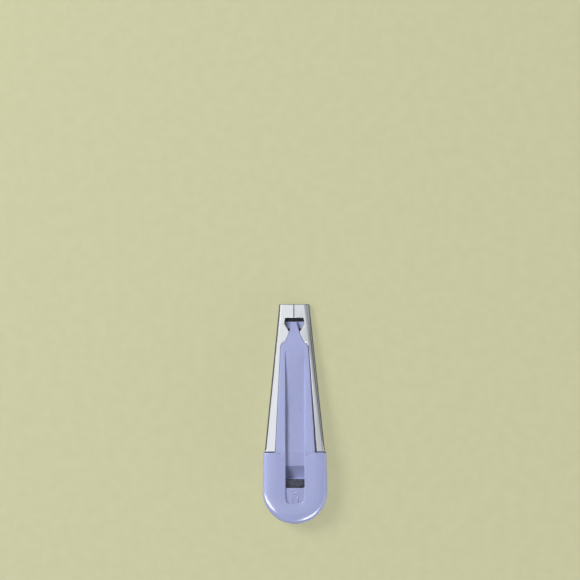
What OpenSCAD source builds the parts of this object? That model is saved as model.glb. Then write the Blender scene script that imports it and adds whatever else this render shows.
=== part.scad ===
// Bias tape maker for 9 mm tape with a guide for fusible web.
// A folder bent from one plated sheet folds the strip, and a moulded guide keeps the folds apart.
// The tip points to +Y, the grip to -Y, and the folder's flat base lies on z = 0.
// Places along the tool are given as s, the distance back from the tip.

/* [Tape and strip] */
// Width of the finished tape
tape_w = 9; // [8:0.5:11]
// Room beside the folded tape at the tip, each side
tape_room = 0.28; // [0.2:0.02:0.4]
// Clear height inside the tip
tip_clear_h = 1.7; // [1.5:0.1:2.1]
// Clear width between the side walls at their rear ends
strip_room = 20; // [19:0.2:21]
// Room that the fabric has between the guide and the sheet
fabric_room = 0.55; // [0.4:0.05:0.7]

/* [Metal folder] */
// Thickness of the sheet
sheet_t = 0.4; // [0.3:0.05:0.5]
// Outside radius of the bends
bend_r = 1.2; // [0.9:0.1:1.3]
// Length of the side walls, from the tip back
wall_len = 51.1; // [47.1:0.5:55.1]
// Height over the flanges at their rear ends
wide_h = 6.8; // [6:0.1:7.5]
// Gap of the seam where the two flaps meet
seam_gap = 0.16; // [0.1:0.02:0.3]
// Length of the closed band at the tip
band_len = 4.9; // [3.9:0.1:5.3]
// Width of the window's front edge
window_front_w = 6; // [5:0.1:6.8]
// Greatest width of the window
window_w = 7.1; // [6.9:0.1:7.3]
// Distance of the widest place behind the front edge
window_wide_at = 1.3; // [0.9:0.1:1.6]
// Distance of the neck behind the front edge
neck_at = 4.9; // [4.4:0.1:5.4]
// Width of the neck between the flanges
neck_w = 3.76; // [3.4:0.1:4.4]
// Width where the neck's slant turns into the flare
flare_w = 7.1; // [6.6:0.1:7.5]
// Distance of that turn behind the neck
flare_at = 3.5; // [3:0.1:3.7]
// Distance of the flange shoulders behind the neck
flange_shoulder_at = 4.9; // [4.8:0.1:5.6]
// Radius of the flange shoulders
flange_shoulder_r = 1.2; // [0.8:0.1:1.3]
// Width of each flange at its front end
flange_front_w = 1.78; // [1.6:0.02:1.9]
// Width of each flange at its rear end
flange_rear_w = 3.3; // [2.9:0.1:3.7]
// Length of the base behind the side walls
tail_len = 15.7; // [14:0.1:17]
// Step inwards from the side walls to the tail's low walls
tail_step = 0.4; // [0.3:0.02:0.44]
// Length of the low walls
tail_wall_len = 12.2; // [10:0.2:13]
// Height of the low walls
tail_wall_h = 3; // [2.6:0.1:3.2]
// Radius of the tail's corners
tail_corner_r = 5; // [3:0.5:7]

/* [Web guide] */
// Distance of the tongue's front end behind the window's front edge
tongue_at = 1.4; // [1.2:0.1:2]
// Height of the tongue's underside at its front end
tongue_front_z = 1.3; // [1.1:0.05:1.35]
// Height of the guide's underside at the ramp's lip
lip_under_z = 2.9; // [2.6:0.1:3.1]
// Width of the spear's front end
spear_w = 1.74; // [1.4:0.1:2.4]
// Chamfer of the tongue's front corners
tongue_corner = 0.4; // [0.2:0.1:0.6]
// Height of the spear's front end over the tongue
spear_rise = 0.24; // [0.15:0.03:0.35]
// Length of the spear's fall, back from its front end
spear_fall_len = 4; // [3.3:0.1:4.6]
// Running clearance between the guide and the sheet
fit = 0.08; // [0.05:0.01:0.12]
// Height of the rails over the flanges at the shoulder
rail_rise = 0.6; // [0.4:0.05:0.75]
// Width of the channel for the web
channel_w = 6.56; // [5.6:0.1:7.2]
// Depth of the channel
channel_d = 1.15; // [0.9:0.05:1.3]
// Distance from the tip to where the channel's floor reaches the rails' tops
channel_start = 15.6; // [14.9:0.1:16.8]
// Length over which the floor curves down to its full depth
channel_curve_len = 24.7; // [20:0.5:28]
// Length of the ramp
ramp_len = 4.3; // [3.8:0.1:4.8]
// Depth of the ramp's lip under the head's top
lip_d = 3.8; // [3.5:0.1:4]
// Length of the flat land behind the ramp
lip_land = 0.4; // [0.2:0.05:0.6]
// Distance of the slot behind the shoulder
slot_at = 9.3; // [8.7:0.1:9.9]
// Length of the slot for the web
slot_len = 3; // [2.6:0.1:3.6]
// Radius of the slot's rear corners
slot_r = 0.7; // [0.4:0.1:0.9]

/* [Head] */
// Width of the head at its widest place
head_w = 22.2; // [22:0.1:23]
// Width of the head at the shoulder
head_front_w = 21.8; // [21.5:0.1:22]
// Length of the head, from the shoulder to the round end
head_len = 24.6; // [23:0.2:26]
// Height of the head's ridge
head_h = 7.75; // [7.7:0.05:8.2]
// Fall of the head's top from its ridge to the channel's edge
crown_drop = 0.3; // [0.1:0.05:0.4]
// Half width of the round step up from each rail
rail_step_r = 3; // [2:0.2:3.6]
// Length of that step, back from the shoulder
rail_step_len = 1.8; // [1.2:0.1:2.4]
// Radius of the rounded rim
rim_r = 1.4; // [0.9:0.1:1.6]
// Radius of the head's corners at the shoulder
corner_r = 0.6; // [0.4:0.1:0.8]
// Thickness of the head's top wall
top_wall = 1.5; // [1.3:0.1:1.7]
// Height of the strip's way in under the round end
mouth_h = 4.75; // [4.5:0.05:4.9]
// Height of the skirts' lower edges
skirt_z = 0.6; // [0.4:0.1:1]
// Length of the recess behind the slot
recess_len = 5.4; // [4.6:0.1:6]
// Depth of the recess
recess_d = 0.85; // [0.6:0.05:0.95]
// Radius of the recess's rear corners
recess_r = 1.9; // [1.2:0.1:2.4]
// Wall thickness of the moulding around its cored underside
mould_wall = 1; // [0.8:0.1:1.1]
// Thickness of the ribs across the cored underside
rib_t = 0.9; // [0.7:0.1:1.2]
// Number of cells in the cored underside
core_cells = 4; // [3:1:5]
// Distance of each snap lug behind the shoulder
lug_at = 7.6; // [6:0.2:8]
// Height of each snap lug's middle
lug_z = 1.7; // [1.6:0.1:1.8]
// Length of each snap lug
lug_len = 3; // [2:0.2:3.6]
// Height of each snap lug
lug_h = 0.9; // [0.7:0.1:1]

/* [Hidden] */
$fn = 48;
// Cuts run this far past the faces that they open
over = 1;
// Ends of lofted solids are discs of this thickness
disc_t = 0.01;
// Sides of the circles inside a hull
hull_fn = 32;

tip_w = tape_w + 2 * tape_room + 2 * sheet_t;
tip_h = tip_clear_h + 2 * sheet_t;
wide_w = strip_room + 2 * sheet_t;
total_len = wall_len + head_len;
tail_w = wide_w - 2 * tail_step;
tail_end = wall_len + tail_len;

neck_s = band_len + neck_at;
flange_shoulder_s = neck_s + flange_shoulder_at;
tongue_s = band_len + tongue_at;

head_r = head_w / 2;
head_centre_s = total_len - head_r;
skirt_in = tail_w / 2 + fit;

// The ramp ends just ahead of the slot, and the slot's rear edge is where the recess starts.
slot_s = wall_len + slot_at;
slot_end_s = slot_s + slot_len;
lip_s = slot_s - lip_land;
ramp_s = lip_s - ramp_len;
lip_z = head_h - lip_d;
hollow_z = head_h - top_wall;

// Each lug fills its window's depth, with this much room round it.
lug_s = wall_len + lug_at;
snap_room = 0.15;

// The head's top is a horseshoe with its ridge midway between the channel and the rim.
ridge_d = (channel_w / 2 + head_r) / 2;
crown_r = (pow(ridge_d - channel_w / 2, 2) + pow(crown_drop, 2)) / (2 * crown_drop);

// Half width and height of the outside of the folder at s
function half_w(s) = (tip_w + (wide_w - tip_w) * s / wall_len) / 2;
function top_z(s) = tip_h + (wide_h - tip_h) * s / wall_len;

// Half width of the gap between the flanges behind their shoulders
function gap_half(s) =
    let (front = half_w(flange_shoulder_s) - flange_front_w, rear = wide_w / 2 - flange_rear_w)
    front + (rear - front) * (s - flange_shoulder_s) / (wall_len - flange_shoulder_s);

// Height of the rails' tops, flush with the flanges at the front and proud at the shoulder
function rail_z(s) = top_z(s) + rail_rise * (s - channel_start) / (wall_len - channel_start);

// Height of the guide's underside
function under_z(s) =
    tongue_front_z + (lip_under_z - tongue_front_z) * (s - tongue_s) / (slot_s - tongue_s);

// Top of the tongue, which leaves the fabric its room under the flanges
function tongue_z(s) = top_z(s) - sheet_t - fabric_room;

// Depth of the channel's floor under the rails
function floor_d(s) =
    let (t = min(1, max(0, (s - channel_start) / channel_curve_len))) channel_d * (1 - pow(1 - t, 2));

// Height of the head's top at a distance from the middle line, or from the round end's centre
function crown_z(d) =
    head_h - crown_r + sqrt(pow(crown_r, 2) - pow(max(d, channel_w / 2) - ridge_d, 2));

// One side of the opening between the flaps and flanges, from the window back to the shoulders
function opening_side(gap) = concat(
    [
        [neck_w / 2 - gap, neck_s],
        [flare_w / 2 - gap, neck_s + flare_at]
    ],
    [for (a = [64 : -8 : 0])
        [
            gap_half(flange_shoulder_s) - flange_shoulder_r + flange_shoulder_r * cos(a) - gap,
            flange_shoulder_s - flange_shoulder_r * sin(a)
        ]]
);

// A closed plan outline from one side's points, which run from the front to the rear
function both_sides(side) = concat(
    [for (p = side) [p[0], -p[1]]],
    [for (i = [len(side) - 1 : -1 : 0]) [-side[i][0], -side[i][1]]]
);

// Moves a shape drawn with its tip at y = 0 to its place about the origin
module place() {
    translate([0, total_len / 2, 0]) children();
}

// A plan outline made solid between two heights
module plan(side, z0, z1) {
    translate([0, 0, z0]) linear_extrude(height = z1 - z0) polygon(both_sides(side));
}

// A side outline of [s, z] points made solid across a width
module profile(points, w) {
    rotate([90, 0, 90])
        linear_extrude(height = w, center = true)
            polygon([for (p = points) [-p[0], p[1]]]);
}

// A ring section of the folder's tube at s: four rounded corners
module tube_end(s, w, z0, z1, r) {
    for (x = [-1, 1], z = [z0 + r, z1 - r])
        translate([x * (w / 2 - r), -s, z])
            rotate([90, 0, 0]) cylinder(r = r, h = disc_t, center = true, $fn = hull_fn);
}

// The folder's tapered tube, drawn in by a thickness and run past its ends by a length
module folder_tube(inset, past) {
    hull()
        for (s = [-past + disc_t / 2, wall_len + past - disc_t / 2])
            tube_end(s, 2 * half_w(s) - 2 * inset, inset, top_z(s) - inset, bend_r - inset);
}

// The parallel trough behind the tube
module tail_tube(inset, past) {
    hull()
        for (s = [wall_len - past, tail_end + past])
            tube_end(s, tail_w - 2 * inset, inset, wide_h - inset, bend_r - inset);
}

module metal_folder() {
    color("silver") place() difference() {
        union() {
            difference() {
                folder_tube(0, 0);
                folder_tube(sheet_t, over);
            }
            folder_tail();
        }
        flange_opening();
        translate([-seam_gap / 2, -band_len - over, tip_h / 2])
            cube([seam_gap, band_len + 2 * over, tip_h]);
        for (x = [-1, 1])
            translate([x * tail_w / 2, -lug_s, lug_z])
                cube([4 * sheet_t, lug_len + 2 * snap_room, lug_h + 2 * snap_room], center = true);
    }
}

// The base behind the side walls, with its low walls and round corners
module folder_tail() {
    difference() {
        intersection() {
            difference() {
                tail_tube(0, 0);
                tail_tube(sheet_t, over);
            }
            hull()
                for (x = [-1, 1]) {
                    translate([x * (tail_w / 2 - tail_corner_r), tail_corner_r - tail_end, 0])
                        cylinder(r = tail_corner_r, h = wide_h, $fn = hull_fn);
                    translate([-tail_w / 2, -wall_len - over, 0]) cube([tail_w, over, wide_h]);
                }
        }
        profile([
            [wall_len - over, tail_wall_h],
            [wall_len + tail_wall_len - tail_wall_h, tail_wall_h],
            [wall_len + tail_wall_len, sheet_t],
            [tail_end + over, sheet_t],
            [tail_end + over, wide_h + over],
            [wall_len - over, wide_h + over]
        ], tail_w + 2 * over);
    }
}

// What is cut from the folder's top: the window, the neck and the gap between the flanges
module flange_opening() {
    plan(concat(
        [
            [window_front_w / 2, band_len],
            [window_w / 2, band_len + window_wide_at]
        ],
        opening_side(0),
        [[gap_half(wall_len + over), wall_len + over]]
    ), tip_h / 2, wide_h + over);
}

module web_guide() {
    color("lightsteelblue") place() difference() {
        union() {
            tongue();
            rails();
            head();
        }
        web_channel();
        web_slot();
        number_recess();
        core();
    }
}

// The tongue that the strip folds round, under the flaps and flanges
module tongue() {
    side_room = sheet_t + fabric_room;
    rear_half = skirt_in - 2 * fit - sheet_t;
    intersection() {
        plan([
            [half_w(tongue_s) - side_room - tongue_corner, tongue_s],
            [half_w(tongue_s) - side_room, tongue_s + tongue_corner],
            [half_w(wall_len) - side_room, wall_len],
            [min(rear_half, half_w(wall_len) - side_room), slot_s]
        ], 0, head_h);
        profile([
            [tongue_s, under_z(tongue_s)],
            [slot_s, under_z(slot_s)],
            [slot_s, hollow_z + fit],
            [wall_len, hollow_z + fit],
            [wall_len, tongue_z(wall_len)],
            [tongue_s, tongue_z(tongue_s)]
        ], wide_w);
    }
}

// The spear and the two rails, which stand up between the flanges
module rails() {
    fall_end_s = tongue_s + spear_fall_len;
    intersection() {
        plan(concat(
            [[spear_w / 2, tongue_s]],
            opening_side(fit),
            [[gap_half(wall_len) - fit, wall_len], [gap_half(wall_len) - fit, slot_s]]
        ), 0, head_h);
        profile([
            [tongue_s, under_z(tongue_s)],
            [slot_s, under_z(slot_s)],
            [slot_s, rail_z(wall_len)],
            [wall_len, rail_z(wall_len)],
            [channel_start, rail_z(channel_start)],
            [fall_end_s, top_z(fall_end_s)],
            [tongue_s, tongue_z(tongue_s) + spear_rise]
        ], wide_w);
    }
}

// The outside of the grip: a round end with a rounded rim, and two shoulder corners
module head_block() {
    side_h = head_h - skirt_z;
    hull() {
        translate([0, -head_centre_s, skirt_z]) rotate_extrude($fn = 64) {
            square([head_r - rim_r, side_h]);
            square([head_r, side_h - rim_r]);
            translate([head_r - rim_r, side_h - rim_r]) circle(r = rim_r, $fn = hull_fn);
        }
        for (x = [-1, 1])
            translate([x * (head_front_w / 2 - corner_r), -wall_len - corner_r, skirt_z]) {
                cylinder(r = corner_r, h = side_h - corner_r, $fn = 24);
                translate([0, 0, side_h - corner_r]) sphere(r = corner_r, $fn = 24);
            }
    }
}

// The hollow under the head's top wall, between the skirts
module head_hollow() {
    hollow_h = hollow_z + over;
    translate([0, -head_centre_s, -over]) cylinder(r = skirt_in, h = hollow_h);
    translate([-skirt_in, -head_centre_s, -over])
        cube([2 * skirt_in, head_centre_s - wall_len + over, hollow_h]);
}

// The strip's way in under the round end, between the skirts' rear edges
module strip_mouth() {
    skirt_end = wall_len + tail_wall_len;
    profile([
        [skirt_end, -over],
        [skirt_end, skirt_z],
        [skirt_end + mouth_h - skirt_z, mouth_h],
        [total_len + over, mouth_h],
        [total_len + over, -over]
    ], head_w + 2 * over);
}

// Beside the channel the head's raised top starts farther back, in a round step up from the rails
module rail_steps() {
    for (x = [-1, 1])
        translate([x * channel_w / 2, -wall_len, rail_z(wall_len)])
            scale([1, rail_step_len / rail_step_r, 1]) cylinder(r = rail_step_r, h = head_h);
}

// What lies over the crowned top: straight beside the channel, turned round the end
module over_crown() {
    steps = 12;
    outer_d = head_r + over;
    outline = concat(
        [for (i = [0 : steps]) let (d = outer_d * i / steps) [d, crown_z(d)]],
        [[outer_d, head_h + over], [0, head_h + over]]
    );
    translate([0, -head_centre_s, 0]) {
        for (x = [0, 1])
            mirror([x, 0, 0]) rotate([90, 0, 0])
                translate([0, 0, wall_len - head_centre_s - over])
                    linear_extrude(height = head_centre_s - wall_len + over) polygon(outline);
        rotate([0, 0, 180]) rotate_extrude(angle = 180) polygon(outline);
    }
}

// The grip: a cap over the rear of the folder, open below for the strip and the web
module head() {
    difference() {
        head_block();
        head_hollow();
        strip_mouth();
        rail_steps();
        over_crown();
    }
    lug_w = sheet_t + 2 * fit;
    for (x = [-1, 1])
        translate([x * (skirt_in + fit - lug_w / 2), -lug_s, lug_z])
            cube([lug_w, lug_len, lug_h], center = true);
}

// The channel's curved floor, its flat stretch and the ramp down to the slot
module web_channel() {
    steps = 16;
    profile(concat(
        [for (i = [0 : steps])
            let (s = channel_start + channel_curve_len * i / steps)
            [s, rail_z(s) - floor_d(s)]],
        [
            [wall_len, rail_z(wall_len) - channel_d],
            [ramp_s, rail_z(wall_len) - channel_d],
            [lip_s, lip_z],
            [slot_s + over, lip_z],
            [slot_s + over, head_h + over],
            [channel_start, head_h + over]
        ]
    ), channel_w);
}

// The slot where the web comes up, with rounded rear corners
module web_slot() {
    translate([0, -slot_s, -over])
        linear_extrude(height = head_h + 2 * over)
            round_ended(channel_w, slot_len, slot_r);
}

// The shallow recess behind the slot
module number_recess() {
    translate([0, -slot_end_s + slot_r, head_h - recess_d])
        linear_extrude(height = recess_d + over)
            round_ended(channel_w, recess_len + slot_r, recess_r);
}

// A rectangle that runs back from y = 0, with its two rear corners rounded
module round_ended(w, length, r) {
    translate([-w / 2, r - length]) square([w, length - r]);
    translate([r - w / 2, -length]) square([w - 2 * r, 2 * r]);
    for (x = [-1, 1])
        translate([x * (w / 2 - r), r - length]) circle(r = r);
}

// Cells cored out of the underside, with ribs between them
module core() {
    front_s = flange_shoulder_s;
    rear_s = ramp_s - mould_wall;
    pitch = (rear_s - front_s + rib_t) / core_cells;
    intersection() {
        profile([
            [front_s, -over],
            [rear_s, -over],
            [rear_s, rail_z(wall_len) - channel_d - mould_wall],
            [wall_len, rail_z(wall_len) - channel_d - mould_wall],
            [front_s, rail_z(front_s) - channel_d / 4 - mould_wall]
        ], wide_w);
        plan([
            [gap_half(front_s) - mould_wall, front_s],
            [gap_half(wall_len) - mould_wall, wall_len],
            [gap_half(wall_len) - mould_wall, rear_s]
        ], -over, head_h);
        for (i = [0 : core_cells - 1])
            translate([-wide_w / 2, -(front_s + i * pitch) - (pitch - rib_t), -over])
                cube([wide_w, pitch - rib_t, head_h]);
    }
}

metal_folder();
web_guide();
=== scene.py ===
# %% [markdown]
# # A bias tape maker: bent sheet and moulded plastic
#
# This tool folds a strip of fabric into narrow tape. A plated sheet is bent into a flat, tapered tube,
# and a plastic guide sits in it, with a channel that lays fusible web on the folds.
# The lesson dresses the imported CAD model: each solid gets a finished piece of the same size in its place,
# with bends, moulded edges and the small marks that the real making leaves.

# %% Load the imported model
import math

import bmesh
import bpy
from mathutils import Matrix, Vector


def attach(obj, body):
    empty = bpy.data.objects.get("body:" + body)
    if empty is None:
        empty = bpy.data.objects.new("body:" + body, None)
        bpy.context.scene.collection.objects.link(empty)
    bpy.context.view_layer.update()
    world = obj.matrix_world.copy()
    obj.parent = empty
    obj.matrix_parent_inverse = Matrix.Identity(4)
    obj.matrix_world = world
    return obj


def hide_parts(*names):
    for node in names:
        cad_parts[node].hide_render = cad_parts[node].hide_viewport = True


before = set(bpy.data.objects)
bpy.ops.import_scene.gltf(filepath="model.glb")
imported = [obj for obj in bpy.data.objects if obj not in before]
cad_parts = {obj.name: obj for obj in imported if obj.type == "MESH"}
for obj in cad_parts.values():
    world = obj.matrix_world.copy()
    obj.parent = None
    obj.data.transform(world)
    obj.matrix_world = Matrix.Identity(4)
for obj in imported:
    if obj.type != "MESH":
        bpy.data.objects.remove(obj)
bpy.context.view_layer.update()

# %% [markdown]
# ## Places along the tool
#
# A maker of such a tool measures from the tip, because the tip's width sets the tape.
# So every place here is given as x, the distance to the right, s, the distance back from the tip,
# and z, the height over the table. All three are in millimetres until a piece is finished,
# because Blender's modelling tools work best on sizes near one.

# %% From the tip back
MM = 0.001
TIP_Y = 37.85


def spot(x, s, z):
    """The point x to the right, s back from the tip and z up."""
    return Vector((x, TIP_Y - s, z))


def back(v):
    """How far back from the tip a vertex lies."""
    return TIP_Y - v.co.y


print("The tip lies at y =", spot(0, 0, 0).y, "mm")

# %% The sizes that the folder and the guide share
SHEET = 0.4
WALL_END = 51.1
TIP_HALF, WIDE_HALF = 5.18, 10.4
TIP_HEIGHT, WIDE_HEIGHT = 2.5, 6.8
BAND_END = 4.7
NECK = 9.5
FLANGE_FRONT, GAP_FRONT, GAP_REAR = 14.7, 4.9, 7.1
# Cutters reach past the tool: half their width, and a height or place below, above and behind it.
PAST_SIDE, PAST_BASE, PAST_TOP, PAST_END = 12, -1, 9, 80


def along(s, front, rear, start=0.0, end=WALL_END):
    """A size that changes evenly from front to rear."""
    return front + (rear - front) * (s - start) / (end - start)


def half_width(s):
    """Half the folder's width."""
    return along(s, TIP_HALF, WIDE_HALF)


def flange_height(s):
    """Height of the flanges' tops."""
    return along(s, TIP_HEIGHT, WIDE_HEIGHT)


def gap_half(s):
    """Half the gap between the flanges."""
    return along(s, GAP_FRONT, GAP_REAR, FLANGE_FRONT)


print("The tube is", 2 * half_width(0), "mm wide at its tip and", 2 * half_width(WALL_END), "at its end")

# %% [markdown]
# ## Five ways to work
#
# Nearly everything on this tool is a flat outline given a thickness, such as a sheet or a pocket in a mould.
# So the first helpers turn a bmesh into an object and extrude an outline, with any of its corners
# rounded first. The third cuts, joins or intersects two solids with the Boolean modifier,
# as a mould maker adds and cuts blocks. The fourth finds the sharp edges that are left and rounds them,
# because no real edge is a perfect line: the narrow round edge is what catches the light.
# The fifth cuts long faces across, because a long face with many corners makes poor triangles.

# %% From a bmesh to an object
def as_object(bm, name):
    """Ends a bmesh and returns its mesh as an object in the scene."""
    bmesh.ops.recalc_face_normals(bm, faces=bm.faces)
    mesh = bpy.data.meshes.new(name)
    bm.to_mesh(mesh)
    bm.free()
    piece = bpy.data.objects.new(name, mesh)
    bpy.context.scene.collection.objects.link(piece)
    return piece


# %% Push faces and round outlines and edges
def push_face(bm, face, push):
    """Extrudes a face by a vector and returns the new face's vertices."""
    alone = all(len(edge.link_faces) == 1 for edge in face.edges)
    grown = bmesh.ops.extrude_face_region(bm, geom=[face])["geom"]
    moved = [item for item in grown if isinstance(item, bmesh.types.BMVert)]
    bmesh.ops.translate(bm, verts=moved, vec=push)
    if not alone:
        bmesh.ops.delete(bm, geom=[face], context="FACES_ONLY")
    return moved


def face_of(bm, verts):
    """The face that has just these vertices."""
    return next(face for face in bm.faces if set(face.verts) == set(verts))


def round_corners(bm, corners, offset, steps):
    """Rounds the corners of a flat outline; offset is how far along the edges each round starts."""
    bmesh.ops.bevel(
        bm, geom=corners, offset=offset, offset_type="OFFSET", segments=steps,
        profile=0.5, affect="VERTICES", material=-1, clamp_overlap=False,
    )


def round_edges(bm, edges, offset, steps):
    """Rounds edges; offset is how far from each edge its round starts."""
    bmesh.ops.bevel(
        bm, geom=edges, offset=offset, offset_type="OFFSET", segments=steps,
        profile=0.5, affect="EDGES", material=-1, clamp_overlap=False,
    )


# %% Outline to solid
def outline_solid(points, push, rounds=()):
    """A solid from an outline's points. Each of rounds is (point numbers, offset, steps)."""
    bm = bmesh.new()
    corners = [bm.verts.new(point) for point in points]
    bm.faces.new(corners)
    for numbers, offset, steps in rounds:
        round_corners(bm, [corners[n] for n in numbers], offset, steps)
    push_face(bm, bm.faces[:][0], push)
    return as_object(bm, "outline")


def plan_solid(side, low, high, rounds=(), lean=(0, 0)):
    """A solid seen from above: side holds (x, s) on the right, from the front to the rear.

    The left and the right side can lean to the right, each by a share of the distance behind the neck.
    """
    right = [(x + lean[1] * max(0, s - NECK), s) for x, s in side]
    left = [(-x + lean[0] * max(0, s - NECK), s) for x, s in reversed(side)]
    count = 2 * len(side) - 1
    paired = [([n for k in numbers for n in (k, count - k)], offset, steps)
              for numbers, offset, steps in rounds]
    return outline_solid([spot(x, s, low) for x, s in right + left], (0, 0, high - low), paired)


def side_solid(points, half, rounds=()):
    """A solid seen from the side: points holds (s, z), and it reaches half to either side."""
    return outline_solid([spot(-half, s, z) for s, z in points], (2 * half, 0, 0), rounds)


# %% Cut, join and share
def settle(piece):
    """Makes the result of a piece's modifiers its mesh."""
    bpy.context.view_layer.update()
    evaluated = piece.evaluated_get(bpy.context.evaluated_depsgraph_get())
    done = bpy.data.meshes.new_from_object(evaluated)
    piece.modifiers.clear()
    rough, piece.data = piece.data, done
    bpy.data.meshes.remove(rough)


def combine(piece, tool, how="DIFFERENCE"):
    """Cuts the tool from the piece, or joins them, or keeps what both fill. The tool is used up."""
    step = piece.modifiers.new("step", "BOOLEAN")
    step.solver, step.operation, step.object = "EXACT", how, tool
    settle(piece)
    bpy.data.meshes.remove(tool.data)
    return piece


# %% Round the sharp edges and cut long faces across
def merged(piece):
    """A bmesh of the piece with doubles, slivers and needless edges taken out."""
    bm = bmesh.new()
    bm.from_mesh(piece.data)
    bmesh.ops.remove_doubles(bm, verts=bm.verts, dist=0.004)
    bmesh.ops.dissolve_degenerate(bm, edges=bm.edges, dist=0.004)
    bmesh.ops.dissolve_limit(bm, angle_limit=math.radians(0.03), verts=bm.verts, edges=bm.edges)
    return bm


def soften(piece, width, steps, sharp, leave=lambda edge: False):
    """Rounds the edges that turn by more than sharp degrees, apart from those that leave picks out."""
    bm = merged(piece)
    edges = [
        edge for edge in bm.edges
        if len(edge.link_faces) == 2 and edge.calc_face_angle() > math.radians(sharp) and not leave(edge)
    ]
    round_edges(bm, edges, width, steps)
    bmesh.ops.remove_doubles(bm, verts=bm.verts, dist=0.001)
    bm.to_mesh(piece.data)
    bm.free()
    print(piece.name, "has", len(edges), "edges rounded by", width, "mm")


def divide(piece, *places):
    """Cuts long faces across at places along the tool, so that each stays simple."""
    bm = bmesh.new()
    bm.from_mesh(piece.data)
    for s in places:
        bmesh.ops.bisect_plane(bm, geom=bm.verts[:] + bm.edges[:] + bm.faces[:], dist=0.0001,
                               plane_co=spot(0, s, 0), plane_no=(0, 1, 0))
    bm.to_mesh(piece.data)
    bm.free()


# %% Finish a piece
SHARP = math.radians(38)


def finish_piece(piece, name, slot, *nodes):
    """Smooth shading that keeps flat faces flat, real metres, a name and a body; slot is not used."""
    piece.data.transform(Matrix.Scale(MM, 4))
    piece.data.shade_smooth()
    piece.data.set_sharp_from_angle(angle=SHARP)
    flats = piece.modifiers.new("flats", "WEIGHTED_NORMAL")
    flats.mode, flats.weight, flats.keep_sharp = "FACE_AREA", 50, True
    settle(piece)
    piece.name = piece.data.name = name
    bm = bmesh.new()
    bm.from_mesh(piece.data)
    open_edges = sum(not edge.is_manifold for edge in bm.edges)
    print(name, "has", len(bm.faces), "faces,", open_edges, "open edges and fills",
          round(bm.calc_volume() / MM ** 3, 1), "cubic mm")
    bm.free()
    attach(piece, "root")
    if nodes:
        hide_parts(*nodes)
    return piece


# %% [markdown]
# ## The bent folder
#
# The real folder starts as a flat blank. Its sides are bent up, then over, until the two flaps meet
# in a seam on top of the tip. It could be modelled flat and bent, but the tube is easier to draw
# as it ends up: a rounded rectangle at the tip, pulled back to a wider and higher one. The inside is
# the same tube, one sheet thickness smaller, and what is left between the two is the sheet.
# Near the tip the upper bends are wider than a circle, because the press bends a narrow tube less sharply,
# and the top has a slight crest, so that it reflects the room in a soft band.

# %% Soft bends
BEND, BEND_STEPS = 1.2, 9
SOFT_TIP, SOFT_WIDE = 2.0, 0.9


def soft_top(bm, verts, side, old, new):
    """Stretches the upper bends sideways, from one reach to another, about the side walls."""
    for sign in (-1, 1):
        bend = [v for v in verts if v.co.x * sign > side - old - 0.001 and v.co.z > BEND]
        about = Matrix.Translation((-sign * side, 0, 0))
        bmesh.ops.scale(bm, verts=bend, vec=(new / old, 1, 1), space=about)


# %% One surface of the tapered tube
CREST_TIP, CREST_WIDE = 0.04, 0.4
STATIONS = 12
TAIL_FRONT, TAIL_HALF, TAIL_END = WALL_END + 0.5, 10.0, 66.8


def shell(inset):
    """The folder's tube as a surface that is open at the tip, drawn in by inset."""
    low, high, side = inset, flange_height(0) - inset, half_width(0) - inset
    bm = bmesh.new()
    corners = [bm.verts.new(spot(x, 0, z))
               for x, z in ((-side, low), (side, low), (side, high), (-side, high))]
    bm.faces.new(corners)
    round_corners(bm, corners, BEND - inset, BEND_STEPS)
    soft_top(bm, bm.verts, side, BEND - inset, SOFT_TIP - inset)
    top_edge = max(bm.edges, key=lambda e: e.verts[0].co.z + e.verts[1].co.z)
    ridge = bmesh.ops.subdivide_edges(bm, edges=[top_edge], cuts=1)["geom_inner"][0]
    ridge.co.z += CREST_TIP
    reach, crest, at, top = SOFT_TIP, CREST_TIP, 0, flange_height(0)
    places = [WALL_END * n / STATIONS for n in range(1, STATIONS + 1)]
    sizes = [(s, half_width(s), flange_height(s)) for s in places]
    sizes += [(TAIL_FRONT, TAIL_HALF, WIDE_HEIGHT), (TAIL_END - inset, TAIL_HALF, WIDE_HEIGHT)]
    start = face = bm.faces[:][0]
    for s, wide, tall in sizes:
        moved = push_face(bm, face, (0, at - s, 0))
        for sign in (-1, 1):
            half = [v for v in moved if v.co.x * sign > 0]
            bmesh.ops.translate(bm, verts=half, vec=(sign * (wide - inset - side), 0, 0))
        upper = [v for v in moved if v.co.z > (low + top) / 2]
        bmesh.ops.translate(bm, verts=upper, vec=(0, 0, tall - top))
        bend = along(min(s, WALL_END), SOFT_TIP, SOFT_WIDE)
        rise = along(min(s, WALL_END), CREST_TIP, CREST_WIDE)
        soft_top(bm, moved, wide - inset, reach - inset, bend - inset)
        max(moved, key=lambda v: v.co.z).co.z += rise - crest
        reach, crest, side, at, top = bend, rise, wide - inset, s, tall
        face = face_of(bm, moved)
    bmesh.ops.delete(bm, geom=[start], context="FACES_ONLY")
    return as_object(bm, "shell")


# %% Two surfaces make the sheet
TIP_ROUND = 0.26


def sheet_between(outer, inner):
    """Joins two surfaces of one shape by a strip round their open ends."""
    bm = bmesh.new()
    bm.from_mesh(outer.data)
    rim = [edge for edge in bm.edges if edge.is_boundary]
    bm.from_mesh(inner.data)
    for surface in (outer, inner):
        bpy.data.meshes.remove(surface.data)
    bmesh.ops.bridge_loops(bm, edges=[edge for edge in bm.edges if edge.is_boundary])
    bmesh.ops.recalc_face_normals(bm, faces=bm.faces)
    round_edges(bm, rim, TIP_ROUND, 5)
    bmesh.ops.triangulate(bm, faces=bm.faces)
    return as_object(bm, "tube")


folder = sheet_between(shell(0), shell(SHEET))
print("The tube's wall is", SHEET, "mm thick, and its mesh has", len(folder.data.polygons), "faces")

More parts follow.
